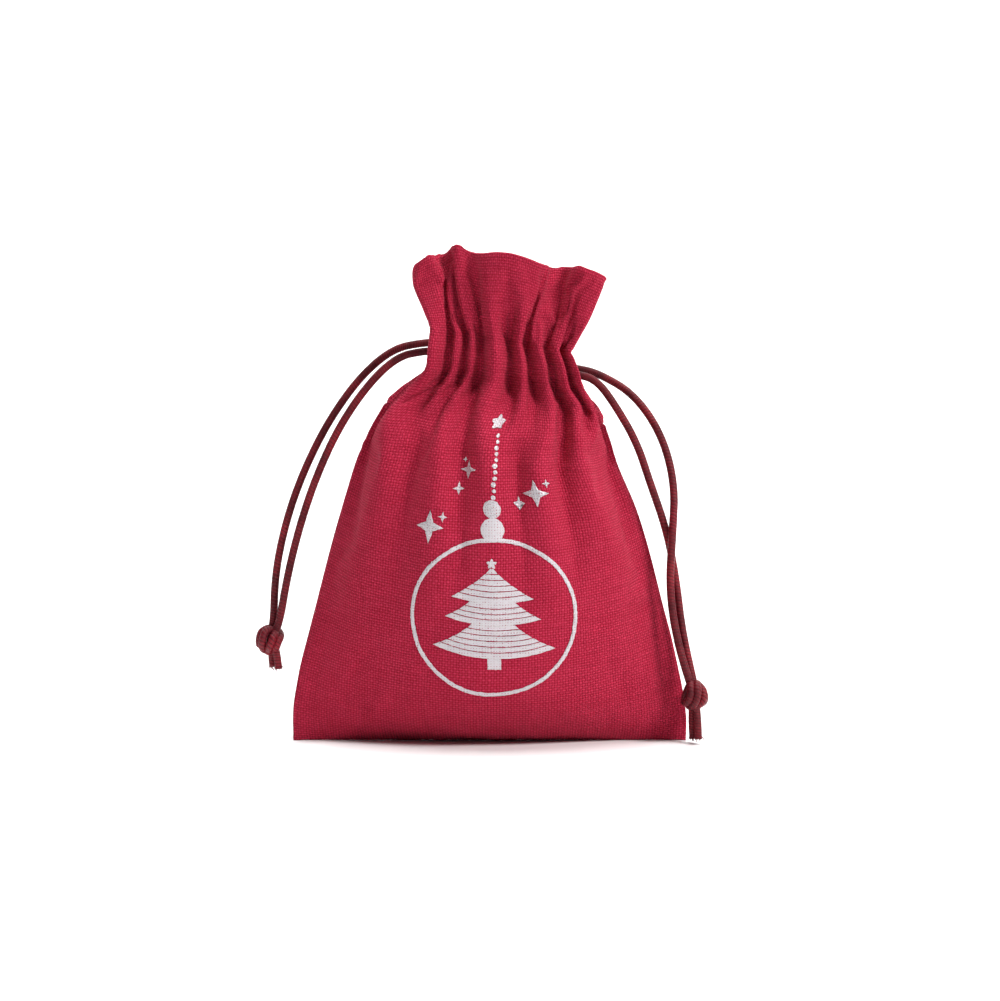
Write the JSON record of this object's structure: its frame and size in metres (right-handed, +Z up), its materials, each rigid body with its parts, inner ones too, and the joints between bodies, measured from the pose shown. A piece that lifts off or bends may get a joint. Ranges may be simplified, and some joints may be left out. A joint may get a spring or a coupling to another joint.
{
  "type": "drawstring gift pouch",
  "caption": "Small gathered canvas gift pouch with a folded cord channel, flared frills, and a pair of knotted drawstring strands at each side.",
  "frame": {"origin": "middle of the base, on the surface that the pouch stands on", "axes": "+Z up from the base to the frill, +X to the right seen from the front, the printed front faces -Y"},
  "size_m": [0.1135, 0.042, 0.1242],
  "materials": {
    "canvas": "plain-weave cotton canvas, deep red",
    "cord": "satin rattail cord, dark wine red",
    "thread": "spun sewing thread, deep red",
    "print": "thin pale screen print broken by the weave"
  },
  "bodies": {
    "pouch": {"front_panel": "canvas", "back_panel": "canvas", "front_hem_facing": "canvas", "back_hem_facing": "canvas", "front_lower_stitching": "thread", "front_upper_stitching": "thread", "back_lower_stitching": "thread", "back_upper_stitching": "thread", "bottom_seam": "canvas", "left_seam": "canvas", "right_seam": "canvas", "bottom_overlock": "thread", "left_overlock": "thread", "right_overlock": "thread", "left_cord_run": "cord", "right_cord_run": "cord"},
    "front_frill": {"front_frill": "canvas"},
    "back_frill": {"back_frill": "canvas"},
    "left_cord_draw": {"left_front_lead": "cord", "left_back_lead": "cord"},
    "left_cord_swing": {"left_front_strand": "cord", "left_back_strand": "cord", "left_knot": "cord", "left_front_tail": "cord", "left_back_tail": "cord"},
    "right_cord_draw": {"right_front_lead": "cord", "right_back_lead": "cord"},
    "right_cord_swing": {"right_front_strand": "cord", "right_back_strand": "cord", "right_knot": "cord", "right_front_tail": "cord", "right_back_tail": "cord"}
  },
  "joints": [
    {"name": "front_frill_fold", "type": "hinge", "parent": "pouch", "child": "front_frill", "pos_m": [0.00345, -0.0083, 0.10158], "axis": [0.9863, 0, -0.165], "range_deg": [0, 22]},
    {"name": "back_frill_fold", "type": "hinge", "parent": "pouch", "child": "back_frill", "pos_m": [0.00345, 0.0083, 0.10158], "axis": [-0.9863, 0, 0.165], "range_deg": [0, 22]},
    {"name": "left_cord_pull", "type": "slide", "parent": "pouch", "child": "left_cord_draw", "axis": [-1, 0, 0], "range_m": [0, 0.008]},
    {"name": "left_cord_lift", "type": "hinge", "parent": "left_cord_draw", "child": "left_cord_swing", "pos_m": [-0.01644, 0, 0.0996], "axis": [0, 1, 0], "range_deg": [0, 60]},
    {"name": "right_cord_pull", "type": "slide", "parent": "pouch", "child": "right_cord_draw", "axis": [1, 0, 0], "range_m": [0, 0.008]},
    {"name": "right_cord_lift", "type": "hinge", "parent": "right_cord_draw", "child": "right_cord_swing", "pos_m": [0.02164, 0, 0.0934], "axis": [0, -1, 0], "range_deg": [0, 60]}
  ]
}
